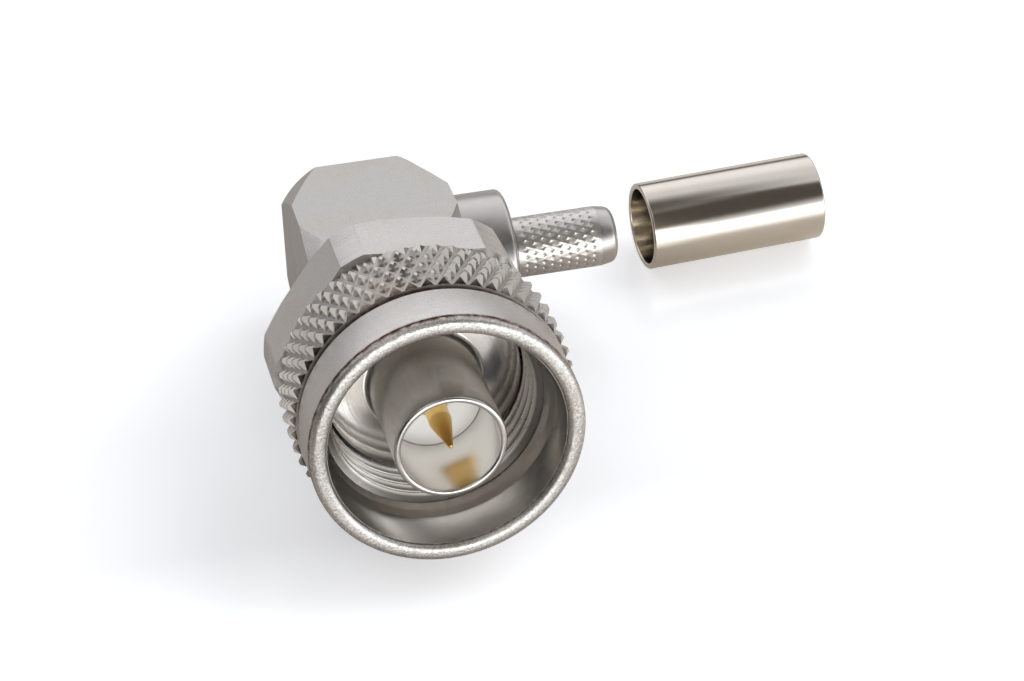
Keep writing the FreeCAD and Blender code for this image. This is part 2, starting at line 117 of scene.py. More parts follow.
def turned(points, steps=256, axis="Y"):
    """A turned piece: the outline is spun once round Y or X and its seam is merged."""
    mesh = bmesh.new()
    if axis == "Y":
        way, spots = (0, 1, 0), [(0, along, out) for along, out in rounded(points)]
    else:
        way, spots = (1, 0, 0), [(along, 0, out) for along, out in rounded(points)]
    closed_line(mesh, spots)
    bmesh.ops.spin(mesh, geom=everything(mesh), cent=(0, 0, 0), axis=way, angle=math.tau,
                   steps=steps, use_merge=True)
    bmesh.ops.remove_doubles(mesh, verts=mesh.verts, dist=SEAM)
    bmesh.ops.recalc_face_normals(mesh, faces=mesh.faces)
    return mesh


def close_holes(mesh):
    """Fills every open rim of a mesh and points its faces outwards."""
    bmesh.ops.holes_fill(mesh, edges=[edge for edge in mesh.edges if edge.is_boundary])
    bmesh.ops.recalc_face_normals(mesh, faces=mesh.faces)


def pyramid(mesh, root, tip, angle, step, station, blunt, base):
    """One blunt pyramid on the top of the ring, on a rhombus angle wide and step long."""
    def corners(wide, long, height):
        for across, along in ((-wide, 0), (0, -long), (wide, 0), (0, long)):
            turn = across * angle
            yield mesh.verts.new((height * math.sin(turn), station + along * step,
                                  height * math.cos(turn)))

    low, high = list(corners(base, base, root)), list(corners(*blunt, tip))
    for number in range(4):
        after = (number + 1) % 4
        mesh.faces.new((low[number], low[after], high[after], high[number]))
    mesh.faces.new(high)


def cut_half(mesh, station, root, side, lean):
    """Cuts a tile off at a station, leaning over its top, and closes the cut."""
    bmesh.ops.bisect_plane(mesh, geom=everything(mesh), plane_co=(0, station, root),
                           plane_no=(0, -side * math.cos(lean), math.sin(lean)),
                           clear_outer=True)
    rim = [edge for edge in mesh.edges if edge.is_boundary
           and any(corner.co.z > root + 0.001 for corner in edge.verts)]
    bmesh.ops.contextual_create(mesh, geom=rim)


def knurl_ring(root, tips, starts, step, front, blunt, base, lean=0.0):
    """Rows of pyramids round Y. Each row's tile is spun round; the end rows are half tiles.

    root and tips are radii, with one tip for each row. blunt is the top's width and length as
    shares of the tile's, and base is the foot's.
    """
    whole = bmesh.new()
    angle = math.pi / starts
    for row, tip in enumerate(tips):
        tile = bmesh.new()
        station = front + row * step
        pyramid(tile, root, tip, angle, step, station, blunt, base)
        if row in (0, len(tips) - 1):
            cut_half(tile, station, root, 1 if row == 0 else -1, lean)
        bmesh.ops.rotate(tile, verts=tile.verts, cent=(0, 0, 0),
                         matrix=Matrix.Rotation(angle * (row % 2), 3, "Y"))
        bmesh.ops.spin(tile, geom=everything(tile), cent=(0, 0, 0), axis=(0, 1, 0),
                       angle=math.tau * (starts - 1) / starts, steps=starts - 1,
                       use_duplicate=True)
        data = bpy.data.meshes.new("knurl row")
        tile.to_mesh(data)
        tile.free()
        whole.from_mesh(data)
        bpy.data.meshes.remove(data)
    bmesh.ops.recalc_face_normals(whole, faces=whole.faces)
    return whole


def finish_piece(mesh, name, body, material, place=PLUG, sharp=30, replaced=()):
    """Puts a finished mesh in the scene, with its place in its mesh, riding on its body."""
    bmesh.ops.transform(mesh, matrix=place, verts=mesh.verts)
    data = bpy.data.meshes.new(name)
    mesh.to_mesh(data)
    mesh.free()
    for face in data.polygons:
        face.use_smooth = True
    data.set_sharp_from_angle(angle=math.radians(sharp))
    data.materials.append(material)
    piece = bpy.data.objects.new(name, data)
    bpy.context.scene.collection.objects.link(piece)
    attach(piece, body)
    if replaced:
        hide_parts(*replaced)
    return piece


def soften(piece, width, segments=2, angle=20):
    """Rounds a piece's sharp edges by a real width in millimetres."""
    bevel = piece.modifiers.new("softened edges", "BEVEL")
    bevel.width = width * MM
    bevel.segments = segments
    bevel.limit_method = "ANGLE"
    bevel.angle_limit = math.radians(angle)
    bevel.harden_normals = True
    bevel.miter_outer = "MITER_ARC"


def refinish(node, material):
    """Gives a solid that stays as it is its finish."""
    data = frame["nodes"][node].data
    data.materials.clear()
    data.materials.append(material)


# Small tools for materials

# A Mix node's two colours and its colour result, by number, because it has several of a name.
MIX_FIRST, MIX_SECOND, MIX_RESULT = 6, 7, 2


def linear(code):
    """An sRGB hex colour as linear red, green, blue and alpha."""
    parts = [int(code[start:start + 2], 16) / 255 for start in (1, 3, 5)]
    return [part / 12.92 if part <= 0.04045 else ((part + 0.055) / 1.055) ** 2.4
            for part in parts] + [1.0]


def add(tree, kind, inputs=(), output=0, **settings):
    """Adds a node with its settings and its inputs, each a value or a link, for one output.

    The inputs go in their order from the first one on, or where a dictionary says.
    """
    node = tree.nodes.new("ShaderNode" + kind)
    for name, value in settings.items():
        setattr(node, name, value)
    for key, value in inputs.items() if isinstance(inputs, dict) else enumerate(inputs):
        if isinstance(value, bpy.types.NodeSocket):
            tree.links.new(value, node.inputs[key])
        else:
            node.inputs[key].default_value = value
    return node.outputs[output]


def new_shader(name):
    """A new material, with its node tree and its shader's inputs."""
    material = bpy.data.materials.new(name)
    material.use_nodes = True
    return material, material.node_tree, material.node_tree.nodes["Principled BSDF"].inputs


def plug_coordinates(tree):
    """Object coordinates in millimetres in the plug's own frame."""
    place = add(tree, "TexCoord", output="Object")
    level = add(tree, "Mapping", {"Vector": place, "Scale": [1 / MM] * 3})
    return add(tree, "VectorRotate", {"Vector": level, "Angle": TILT}, rotation_type="X_AXIS")


def ring_coordinates(tree, spot, along_x):
    """Station along the turning axis and radius from it, as a vector's X and Y."""
    parts = add(tree, "SeparateXYZ", (spot,)).node.outputs
    side, run = ("Y", "X") if along_x else ("X", "Y")
    flat = add(tree, "CombineXYZ", (parts[side], parts["Z"]))
    radius = add(tree, "VectorMath", (flat,), "Value", operation="LENGTH")
    return add(tree, "CombineXYZ", (parts[run], radius))


def specks(tree, spot):
    """Where there are dark specks, about a tenth of a millimetre wide in cells of 2.5 mm."""
    cells = add(tree, "TexVoronoi", {"Vector": spot, "Scale": 1 / 2.5}).node.outputs
    chance = add(tree, "SeparateColor", (cells["Color"],))
    chosen = add(tree, "Math", (chance, 0.8), operation="GREATER_THAN")
    near = add(tree, "MapRange", (cells["Distance"], 0.012, 0.026, 0.7, 0.0))
    return add(tree, "Math", (near, chosen), operation="MULTIPLY")


# What lies over the plate, and the painted shade in its roots and corners
WARM_STAIN, SPECK, SHADE = "#D2C3B2", "#5A5148", "#6A655E"
# painted shade: a dark grey for the roots between ridges, and a brown for the corners
ROOT_SHADE, CORNER_SHADE = "#46413B", "#6A4E3C"

# A blasted grain is some hundredths of a millimetre, too fine to show. It is drawn this wide.
SHOWN_GRAIN = 0.09


def nickel(name, plate, roughness, grain=0.08, depth=0.0012, mottle=0.1, stain=0.3,
           rings=None, inside=None, root_shade=None, polished=None, corner_shade=(), along_x=False):
    """Nickel plate on brass: fine grain, turned rings, faint warm stains, painted shade in corners and roots.

    grain and depth are the size and height of its grain, and mottle and stain are the shares
    of light and shade and of the warmer tone. rings has the turning marks' depth, their spacing
    and the radius from which outwards they are cut. inside has a bore's radius and its
    roughness as a share of the outside's. dull has the radii down to which the plate is bright
    and from which on painted shade darkens it fully, and the share of that painted shade.
    polished has a station and the roughness behind it as a share. tarnish has spots of brown
    painted shade in corners, each a station, a radius and a reach. along_x is for a piece
    turned about the cable's axis. Lengths are in millimetres.
    """
    material, tree, shader = new_shader(name)
    shader["Metallic"].default_value = 1.0
    spot = plug_coordinates(tree)
    ring = ring_coordinates(tree, spot, along_x)
    turning = add(tree, "SeparateXYZ", (ring,)).node.outputs
    station, radius = turning["X"], turning["Y"]

    # slow clouds of a warmer tone, as handling leaves them
    clouds = add(tree, "TexNoise", {"Vector": spot, "Scale": 1 / 5.0, "Detail": 3.0})
    warm = add(tree, "MapRange", (clouds, 0.5, 0.8, 0.0, stain))
    # each grain of the blasted or turned surface holds its own light or shade
    size = max(grain, SHOWN_GRAIN)
    grains = add(tree, "TexNoise", {"Vector": spot, "Scale": 1 / size, "Detail": 1.0})
    grains = add(tree, "MapRange", (grains, 0.35, 0.65, 0.0, mottle))
    if inside:
        # the bore is finished finer than the outside
        bore, factor = inside
        outside = add(tree, "MapRange", (radius, bore + 0.1, bore + 0.2))
        grains = add(tree, "Math", (grains, outside), operation="MULTIPLY")
    layers = [(warm, WARM_STAIN), (specks(tree, spot), SPECK), (grains, SHADE)]
    if rings:
        # the tool leaves rings, deeper in some places than in others, and dark in the deep ones
        ring_depth, ring_step, ring_start = rings
        marks = add(tree, "TexNoise", {"Vector": ring, "Scale": 1 / ring_step, "Detail": 2.0})
        share = add(tree, "TexNoise", {"Vector": spot, "Scale": 1 / 3.0, "Detail": 2.0})
        share = add(tree, "MapRange", (share, 0.35, 0.65, 0.4, 1.2))
        cut_part = add(tree, "MapRange", (radius, ring_start, ring_start + 0.02))
        share = add(tree, "Math", (share, cut_part), operation="MULTIPLY")
        lines = add(tree, "MapRange", (marks, 0.4, 0.7, 0.0, 0.3))
        lines = add(tree, "Math", (lines, share), operation="MULTIPLY")
        layers.append((lines, SHADE))
    if root_shade:
        # painted shade: down between the ridges the plate is darkened towards the roots
        bright_to, shade_from, most = root_shade
        deep = add(tree, "MapRange", (radius, bright_to, shade_from, 0.0, most))
        layers.append((deep, ROOT_SHADE))
    for along, out, reach in corner_shade:
        # painted shade: a patchy brown darkening in the corners
        place = add(tree, "CombineXYZ", (along, out))
        away = add(tree, "VectorMath", (ring, place), "Value", operation="DISTANCE")
        near = add(tree, "MapRange", (away, reach * 0.4, reach, 1.0, 0.0))
        patchy = add(tree, "TexNoise", {"Vector": spot, "Scale": 1 / 0.5, "Detail": 3.0})
        patchy = add(tree, "MapRange", (patchy, 0.3, 0.6, 0.35, 1.0))
        layers.append((add(tree, "Math", (near, patchy), operation="MULTIPLY"), CORNER_SHADE))
    colour = plate
    for share_over, over in layers:
        colour = add(tree, "Mix", {0: share_over, MIX_FIRST: colour, MIX_SECOND: linear(over)},
                     MIX_RESULT, data_type="RGBA")
    tree.links.new(colour, shader["Base Color"])

    # the plate is a little smoother in some patches than in others
    rough = add(tree, "TexNoise", {"Vector": spot, "Scale": 1 / 0.6, "Detail": 2.0})
    rough = add(tree, "MapRange", (rough, 0.3, 0.7, roughness * 0.88, roughness * 1.12))
    if inside:
        finer = add(tree, "MapRange", (radius, bore + 0.1, bore + 0.2, factor, 1.0))
        rough = add(tree, "Math", (rough, finer), operation="MULTIPLY")
    if polished:
        behind, factor = polished
        finer = add(tree, "MapRange", (station, behind - 0.02, behind, 1.0, factor))
        rough = add(tree, "Math", (rough, finer), operation="MULTIPLY")
    tree.links.new(rough, shader["Roughness"])

    height = add(tree, "TexNoise", {"Vector": spot, "Scale": 1 / grain, "Detail": 2.0})
    height = add(tree, "Math", (height, depth), operation="MULTIPLY")
    if inside:
        height = add(tree, "Math", (height, outside), operation="MULTIPLY")
    if rings:
        cut = add(tree, "Math", (marks, share), operation="MULTIPLY")
        if inside:
            cut = add(tree, "Math", (cut, outside), operation="MULTIPLY")
        cut = add(tree, "Math", (cut, ring_depth), operation="MULTIPLY")
        height = add(tree, "Math", (height, cut), operation="ADD")
    bump = add(tree, "Bump", {"Distance": MM, "Height": height})
    tree.links.new(bump, shader["Normal"])
    return material


def smooth_finish(name, colour, metallic, roughness, depth, ior=None, scatter=0.0):
    """A plain smooth finish with a faint grain and a slow change of tone and roughness."""
    material, tree, shader = new_shader(name)
    shader["Metallic"].default_value = metallic
    if ior:
        shader["IOR"].default_value = ior
    if scatter:
        # light goes this many millimetres into the white plastic before it comes out again
        shader["Subsurface Weight"].default_value = 0.4
        shader["Subsurface Radius"].default_value = (1.0, 1.0, 1.0)
        shader["Subsurface Scale"].default_value = scatter * MM
    spot = plug_coordinates(tree)
    cloud = add(tree, "TexNoise", {"Vector": spot, "Scale": 1 / 1.7, "Detail": 2.0})
    darker = [part * 0.92 for part in colour[:3]] + [1.0]
    shade = add(tree, "Mix", {0: cloud, MIX_FIRST: colour, MIX_SECOND: darker}, MIX_RESULT,
                data_type="RGBA")
    tree.links.new(shade, shader["Base Color"])
    rough = add(tree, "MapRange", (cloud, 0.2, 0.8, roughness * 0.8, roughness * 1.2))
    tree.links.new(rough, shader["Roughness"])
    # turning marks of a tenth of a millimetre
    height = add(tree, "TexNoise", {"Vector": spot, "Scale": 1 / 0.1, "Detail": 2.0})
    height = add(tree, "Math", (height, depth), operation="MULTIPLY")
    bump = add(tree, "Bump", {"Distance": MM, "Height": height})
    tree.links.new(bump, shader["Normal"])
    return material


# Sizes and colours that a user would change

class PlugSizes(bpy.types.PropertyGroup):
    contact_radius: bpy.props.FloatProperty(
        name="Contact radius", description="Outside of the outer contact's sleeve",
        default=4.025 * MM, unit="LENGTH")
    bore_radius: bpy.props.FloatProperty(
        name="Contact bore", description="Inside of the outer contact's sleeve",
        default=3.55 * MM, unit="LENGTH")
    insulator_face: bpy.props.FloatProperty(
        name="Insulator depth", description="From the sleeve's tip to the insulator",
        default=6.1 * MM, unit="LENGTH")
    pin_radius: bpy.props.FloatProperty(
        name="Pin radius", description="Of the gold-plated pin in front of the insulator",
        default=0.82 * MM, unit="LENGTH")
    thread_pitch: bpy.props.FloatProperty(
        name="Thread pitch", description="Of the coupling thread, 24 to the inch",
        default=25.4 / 24 * MM, unit="LENGTH")
    nut_turn: bpy.props.FloatProperty(
        name="Nut turn", description="How far the hexagon is turned at rest",
        default=math.radians(6.0), subtype="ANGLE")
    knurl_starts: bpy.props.IntProperty(
        name="Knurl starts", description="Diamonds round the coupling nut", default=54)
    knurl_rows: bpy.props.IntProperty(
        name="Knurl rows", description="Half rows of diamonds along the nut", default=5)
    stem_starts: bpy.props.IntProperty(
        name="Stem knurl starts", description="Diamonds round the crimp stem", default=24)
    stem_rows: bpy.props.IntProperty(
        name="Stem knurl rows", description="Half rows of diamonds along the stem", default=10)
    ferrule_length: bpy.props.FloatProperty(
        name="Ferrule length", description="Of the loose crimp ferrule",
        default=14.2 * MM, unit="LENGTH")
    ferrule_radius: bpy.props.FloatProperty(
        name="Ferrule radius", description="Outside of the loose crimp ferrule",
        default=3.4248 * MM, unit="LENGTH")
    ferrule_bore: bpy.props.FloatProperty(
        name="Ferrule bore", description="Inside radius of the loose crimp ferrule",
        default=2.975 * MM, unit="LENGTH")


class PlugFinish(bpy.types.PropertyGroup):
    plate: bpy.props.FloatVectorProperty(
        name="Nickel plate", description="Colour of the nickel plate", subtype="COLOR",
        size=4, min=0.0, max=1.0, default=linear("#E8E5E1"))
    gold: bpy.props.FloatVectorProperty(
        name="Gold plate", description="Colour of the gold plate", subtype="COLOR",
        size=4, min=0.0, max=1.0, default=linear("#F2CB7C"))
    white: bpy.props.FloatVectorProperty(
        name="Fluoropolymer", description="Colour of the white insulators", subtype="COLOR",
        size=4, min=0.0, max=1.0, default=linear("#F4F4F2"))


def sizes():
    """The sizes by their names, with lengths in millimetres."""
    group = bpy.context.scene.plug_sizes
    values = {}
    for name in PlugSizes.__annotations__:
        length = group.bl_rna.properties[name].unit == "LENGTH"
        values[name] = getattr(group, name) / MM if length else getattr(group, name)
    return SimpleNamespace(**values)


def finishes():
    """The colours by their names."""
    return bpy.context.scene.plug_finish


# Stations and radii that the pieces share, in millimetres, as the solids have them.

FLANGE, FLANGE_REAR, TAIL_REAR = 9.3, 11.5, 20.0
FLANGE_RADIUS, TAIL_RADIUS = 7.2, 4.5
NUT_FRONT, BEAD_REAR, BAND_FRONT, BAND_REAR = 0.6, 1.1, 1.26, 5.01
KNURL_FRONT, KNURL_REAR, NUT_REAR = 5.46, 11.04, 16.14
BEAD_BORE, BEAD_FOOT, BEAD_RADIUS = 8.56, 8.62, 9.845
GROOVE_RADIUS, BAND_RADIUS, RELIEF_RADIUS = 9.72, 9.85, 9.45
KNURL_ROOT, KNURL_TOP, KNURL_REAR_TOP = 9.925, 10.37, 10.15
MOUTH_RADIUS, THREAD_BORE, THREAD_ROOT, THREAD_CREST = 8.55, 7.94, 7.97, 7.36
THREAD_FRONT, SHOULDER = 4.95, 11.9
HEX_LAND, HEX_BEVEL, HEX_FLAT, SHANK_BORE = 10.475, 9.675, 9.5, 6.1
PIN_TIP, PIN_TAPER, PIN_TIP_RADIUS, CORE_RADIUS, BEAD_HOLE = 0.1, 3.5, 0.14, 1.075, 1.095
CABLE = 26.0

# The same along the cable, from the coupling axis.

TENON, BAR_SIDE, COLLAR_END = 4.55, 6.0, 10.15
STEM_FRONT, STEM_REAR, STEM_END = 10.6, 17.15, 18.5
TENON_RADIUS, COLLAR_RADIUS, ROOT_RADIUS = 3.0, 4.68, 2.15
STEM_BORE, STEM_CORE, STEM_RADIUS, STEM_SKIN = 1.55, 2.2, 2.312, 2.315
PIT_EDGE, PIT_SLOPE, PIT_DEPTH = 0.35, 0.07, 0.08


class PLUG_OT_block(bpy.types.Operator):
    """Gives the block its own merged and softened skin, and finishes the pressed cap"""
    bl_idname = "plug.block"
    bl_label = "Body block"

    def execute(self, context):
        # bead-blasted plate: an even soft grey with a fine grain and no turning marks
        blasted = nickel("nickel plate bead-blasted", linear("#D9D7D2"), 0.42, grain=0.12,
                         depth=0.003, mottle=0.16, stain=0.5)
        mesh = bmesh.new()
        mesh.from_mesh(frame["nodes"]["body_block"].data)
        bmesh.ops.remove_doubles(mesh, verts=mesh.verts, dist=0.002 * MM)
        bmesh.ops.dissolve_limit(mesh, angle_limit=math.radians(0.2), verts=mesh.verts,
                                 edges=mesh.edges)
        piece = finish_piece(mesh, "block_skin", "plug", blasted, Matrix.Identity(4), 24,
                             ["body_block"])
        soften(piece, 0.16, segments=3, angle=24)
        refinish("rear_cap", blasted)
        return {"FINISHED"}


class PLUG_OT_contact(bpy.types.Operator):
    """Turns the outer contact: sleeve, flange and tail"""
    bl_idname = "plug.contact"
    bl_label = "Outer contact"

    def execute(self, context):
        size = sizes()
        outer, inner = size.contact_radius, size.bore_radius
        # fine-turned plate: a soft sheen on the sleeve, rings on the flange's face, and brown painted shade at the
        # sleeve's tip
        satin = nickel("nickel plate satin sleeve", finishes().plate, 0.24, mottle=0.16,
                       rings=(0.0015, 0.12, outer + 0.3), inside=(inner, 0.9),
                       polished=(FLANGE - 0.05, 0.6), corner_shade=[(0.0, outer, 0.12)])
        mesh = turned([
            (0.0, inner, 0.2), (0.0, outer, 0.24), (FLANGE, outer, 0.45),
            (FLANGE, FLANGE_RADIUS, 0.08), (FLANGE_REAR, FLANGE_RADIUS, 0.1),
            (FLANGE_REAR, TAIL_RADIUS, 0), (TAIL_REAR, TAIL_RADIUS, 0), (TAIL_REAR, inner, 0),
        ])
        finish_piece(mesh, "contact_turning", "plug", satin, replaced=["outer_contact"])
        return {"FINISHED"}


class PLUG_OT_insulators(bpy.types.Operator):
    """Turns the white bead and the gold-plated pin, and finishes the hidden insulators"""
    bl_idname = "plug.insulators"
    bl_label = "Insulators and pin"

    def execute(self, context):
        size = sizes()
        # turned fluoropolymer: a waxy white that lets light a little way in
        white = smooth_finish("PTFE turned", finishes().white, metallic=0.0, roughness=0.45,
                              depth=0.003, ior=1.35, scatter=0.3)
        # polished gold plate: a deep warm yellow, without sharp reflections at this size
        gold = smooth_finish("gold plate polished", finishes().gold, metallic=1.0,
                             roughness=0.32, depth=0.002)
        face, outer = size.insulator_face, size.bore_radius - 0.02
        mesh = turned([(face, BEAD_HOLE, 0.03), (face, outer, 0.08), (TAIL_REAR, outer, 0),
                       (TAIL_REAR, BEAD_HOLE, 0)])
        finish_piece(mesh, "bead_turning", "plug", white, replaced=["front_insulator"])
        pin, core_end = size.pin_radius, CABLE + 1.1
        mesh = turned([
            (PIN_TIP, 0.0, 0), (PIN_TIP, PIN_TIP_RADIUS, 0.06), (PIN_TAPER, pin, 0.5),
            (face, pin, 0), (face, CORE_RADIUS, 0.03), (core_end, CORE_RADIUS, 0.05),
            (core_end, 0.0, 0),
        ], steps=96)
        finish_piece(mesh, "pin_turning", "plug", gold, replaced=["centre_pin"])
        refinish("rear_insulator", white)
        refinish("cap_insulator", white)
        return {"FINISHED"}


class PLUG_OT_nut(bpy.types.Operator):
    """Builds the coupling nut: turned shell, rim bead, thread, diamond knurl and hexagon"""
    bl_idname = "plug.nut"
    bl_label = "Coupling nut"

    def execute(self, context):
        self.shell()
        self.bead()
        self.knurl()
        self.hexagon()
        self.thread()
        return {"FINISHED"}

    def shell(self):
        # turned plate, blasted outside and finer in the mouth; painted shade under the knurl's ridges, and brown
        # painted shade behind the bead and in the relief
        satin = nickel("nickel plate satin turned", finishes().plate, 0.44, depth=0.0025,
                       mottle=0.18, inside=(8.6, 0.55),
                       root_shade=(KNURL_ROOT - 0.055, KNURL_ROOT - 0.025, 0.35),
                       corner_shade=[(1.2, 9.75, 0.28), (5.25, RELIEF_RADIUS, 0.5)])
        front = BEAD_REAR - 0.1
        mesh = turned([
            (front, BEAD_FOOT, 0), (front, GROOVE_RADIUS, 0), (BAND_FRONT, GROOVE_RADIUS, 0),
            (BAND_FRONT + 0.04, BAND_RADIUS, 0.03), (BAND_REAR, BAND_RADIUS, 0.12),
            (BAND_REAR, RELIEF_RADIUS, 0.05), (KNURL_FRONT, RELIEF_RADIUS, 0.05),
            (KNURL_FRONT, KNURL_ROOT, 0), (KNURL_REAR, KNURL_ROOT, 0),
            (KNURL_REAR, THREAD_BORE, 0),
            # the mouth opens in two slopes in front of the thread
            (5.4, THREAD_BORE, 0.08), (4.95, 8.25, 0.08), (4.4, MOUTH_RADIUS, 0.05),
            (front, MOUTH_RADIUS, 0),
        ])
        finish_piece(mesh, "nut_shell", "nut", satin, replaced=["coupling_nut"])

    def bead(self):
        # coarsely blasted plate: the rim sparkles, and brown painted shade lies in the corners beside it
        coarse = nickel("nickel plate coarse bead", linear("#F4F1EC"), 0.36, grain=0.14,
                        depth=0.03, mottle=0.4,
                        corner_shade=[(BEAD_REAR + 0.05, BAND_RADIUS, 0.36),
                                 (1.0, MOUTH_RADIUS, 0.16)])
        rear = BEAD_REAR + 0.06
        mesh = turned([
            (NUT_FRONT, BEAD_BORE, 0.49), (NUT_FRONT, BEAD_RADIUS, 0.5),
            (rear, BEAD_RADIUS, 0.05), (rear, BEAD_FOOT, 0), (rear - 0.04, BEAD_BORE, 0.03),
        ])
        finish_piece(mesh, "nut_bead", "nut", coarse)

    def knurl(self):
        size = sizes()
        # cut plate: bright facets that mirror the room, and brown painted shade in front of the first row
        bright = nickel("nickel plate on cut knurl", linear("#CFCAC4"), 0.2, grain=0.12,
                        stain=0.5, corner_shade=[(KNURL_FRONT - 0.1, 9.95, 0.4)])
        rows = size.knurl_rows
        step = (KNURL_REAR - KNURL_FRONT) / rows
        tips = [KNURL_TOP] * rows + [KNURL_REAR_TOP]
        mesh = knurl_ring(KNURL_ROOT - 0.03, tips, size.knurl_starts, step, KNURL_FRONT,
                          blunt=(0.26, 0.26), base=0.86, lean=math.radians(40))
        piece = finish_piece(mesh, "nut_knurl", "nut", bright, sharp=20)
        soften(piece, 0.03)

    def hexagon(self):
        # blasted plate, with the turning marks left on the round lands between the flats
        blasted = nickel("nickel plate blasted hexagon", finishes().plate, 0.36, grain=0.12,
                         depth=0.002, mottle=0.14, rings=(0.006, 0.12, 10.4))
        mesh = turned([
            (KNURL_REAR, THREAD_BORE, 0), (KNURL_REAR, HEX_LAND, 0),
            (NUT_REAR - 0.65, HEX_LAND, 0), (NUT_REAR, HEX_BEVEL, 0.1),
            (NUT_REAR, SHANK_BORE, 0.1), (SHOULDER, SHANK_BORE, 0), (SHOULDER, THREAD_BORE, 0),
        ])
        for side in range(6):
            turn = math.radians(60 * side) + sizes().nut_turn
            out = Vector((math.sin(turn), 0, math.cos(turn)))
            bmesh.ops.bisect_plane(mesh, geom=everything(mesh), dist=CUT,
                                   plane_co=out * HEX_FLAT, plane_no=out, clear_outer=True)
            close_holes(mesh)
        piece = finish_piece(mesh, "nut_hexagon", "nut", blasted, sharp=20)
        soften(piece, 0.07)

    def thread(self):
        pitch, turns, steps = sizes().thread_pitch, 5.2, 96
        # cut plate: bright crests, and painted shade darkening the roots
        cut = nickel("nickel plate in the thread", linear("#F2EEE8"), 0.3, depth=0.0004,
                     root_shade=(THREAD_CREST + 0.06, THREAD_CREST + 0.24, 0.75))
        section = rounded([
            (0.02 * pitch, THREAD_ROOT, 0), (0.38 * pitch, THREAD_CREST, 0.1),
            (0.62 * pitch, THREAD_CREST, 0.1), (0.98 * pitch, THREAD_ROOT, 0),
        ], 3)
        mesh = bmesh.new()
        closed_line(mesh, [(0, THREAD_FRONT + along, out) for along, out in section])
        bmesh.ops.spin(mesh, geom=everything(mesh), cent=(0, 0, 0), axis=(0, -1, 0),
                       dvec=(0, pitch / steps, 0), angle=math.tau * turns,
                       steps=int(turns * steps), use_merge=False)
        close_holes(mesh)
        finish_piece(mesh, "nut_thread", "nut", cut, sharp=60)


class PLUG_OT_neck(bpy.types.Operator):
    """Turns the collar and stem about the cable's axis and cuts the stem's knurl"""
    bl_idname = "plug.neck"
    bl_label = "Cable neck"

    def execute(self, context):
        place = PLUG @ Matrix.Translation((0, CABLE, 0))
        self.turning(place)
        self.knurl(place)
        return {"FINISHED"}

    def turning(self, place):
        # satin plate: one soft highlight along the collar
        smooth = nickel("nickel plate satin collar", linear("#D0CDCA"), 0.32, along_x=True)
        skin_front, skin_rear = STEM_FRONT + 0.02, STEM_REAR - 0.02
        mesh = turned([
            (TENON, STEM_BORE, 0), (TENON, TENON_RADIUS, 0), (BAR_SIDE, TENON_RADIUS, 0),
            (BAR_SIDE, COLLAR_RADIUS, 0.1), (COLLAR_END, COLLAR_RADIUS, 0.45),
            (COLLAR_END, ROOT_RADIUS, 0.1), (STEM_FRONT, ROOT_RADIUS, 0),
            (STEM_FRONT, STEM_RADIUS, 0), (skin_front, STEM_RADIUS, 0),
            (skin_front, STEM_CORE, 0), (skin_rear, STEM_CORE, 0),
            (skin_rear, STEM_RADIUS, 0), (17.3, 2.3, 0), (STEM_END, 2.1, 0.6),
            (STEM_END, STEM_BORE, 0.08),
        ], axis="X")
        finish_piece(mesh, "neck_turning", "plug", smooth, place, replaced=["cable_neck"])

    def knurl(self, place):
        size = sizes()
        # rolled plate: a bright skin with small dark pits
        rolled = nickel("nickel plate on stem knurl", linear("#E4E1DD"), 0.34)
        # the stem's knurl is pressed in, so it leaves round pits in a smooth cylinder
        mesh = knurl_ring(STEM_SKIN, [STEM_SKIN] * (size.stem_rows + 1), size.stem_starts,
                          (STEM_REAR - STEM_FRONT) / size.stem_rows, STEM_FRONT,
                          blunt=(0.66, 0.32), base=1.0)
        bmesh.ops.remove_doubles(mesh, verts=mesh.verts, dist=1e-3)
        bmesh.ops.recalc_face_normals(mesh, faces=mesh.faces)
        pits = [face for face in mesh.faces if len(face.verts) == 4
                and max(edge.calc_length() for edge in face.edges) < PIT_EDGE]
        middle = pits[0].calc_center_median()
        if pits[0].normal.dot(Vector((middle.x, 0, middle.z))) < 0:
            bmesh.ops.reverse_faces(mesh, faces=mesh.faces)
        bmesh.ops.inset_individual(mesh, faces=pits, thickness=PIT_SLOPE, depth=-PIT_DEPTH)
        bmesh.ops.rotate(mesh, verts=mesh.verts, cent=(0, 0, 0),
                         matrix=Matrix.Rotation(-math.pi / 2, 3, "Z"))
        finish_piece(mesh, "stem_knurl", "plug", rolled, place, sharp=180)


class PLUG_OT_ferrule(bpy.types.Operator):
    """Turns the loose crimp ferrule and lays it where the frame has it"""
    bl_idname = "plug.ferrule"
    bl_label = "Crimp ferrule"

    def execute(self, context):
        size = sizes()
        mount = next(item for item in frame["record"]["mounts"]
                     if item["name"] == "ferrule_bore")
        turn = ACROSS.rotation_difference(Vector(mount["axis"]).normalized())
        place = (Matrix.Translation(Vector(mount["pos_m"])) @ turn.to_matrix().to_4x4()
                 @ Matrix.Scale(MM, 4))
        # polished plate: it mirrors the room in long bright and dark bands
        polished = nickel("nickel plate polished tube", linear("#E2DCD2"), 0.13, grain=0.3,
                          depth=0.0004, mottle=0.02, along_x=True)
        half, bore, outer = size.ferrule_length / 2, size.ferrule_bore, size.ferrule_radius
        mesh = turned([(-half, bore, 0.1), (-half, outer, 0.16), (half, outer, 0.16),
                       (half, bore, 0.1)], axis="X")
        finish_piece(mesh, "ferrule_tube", "plug", polished, place, replaced=["crimp_ferrule"])
        return {"FINISHED"}


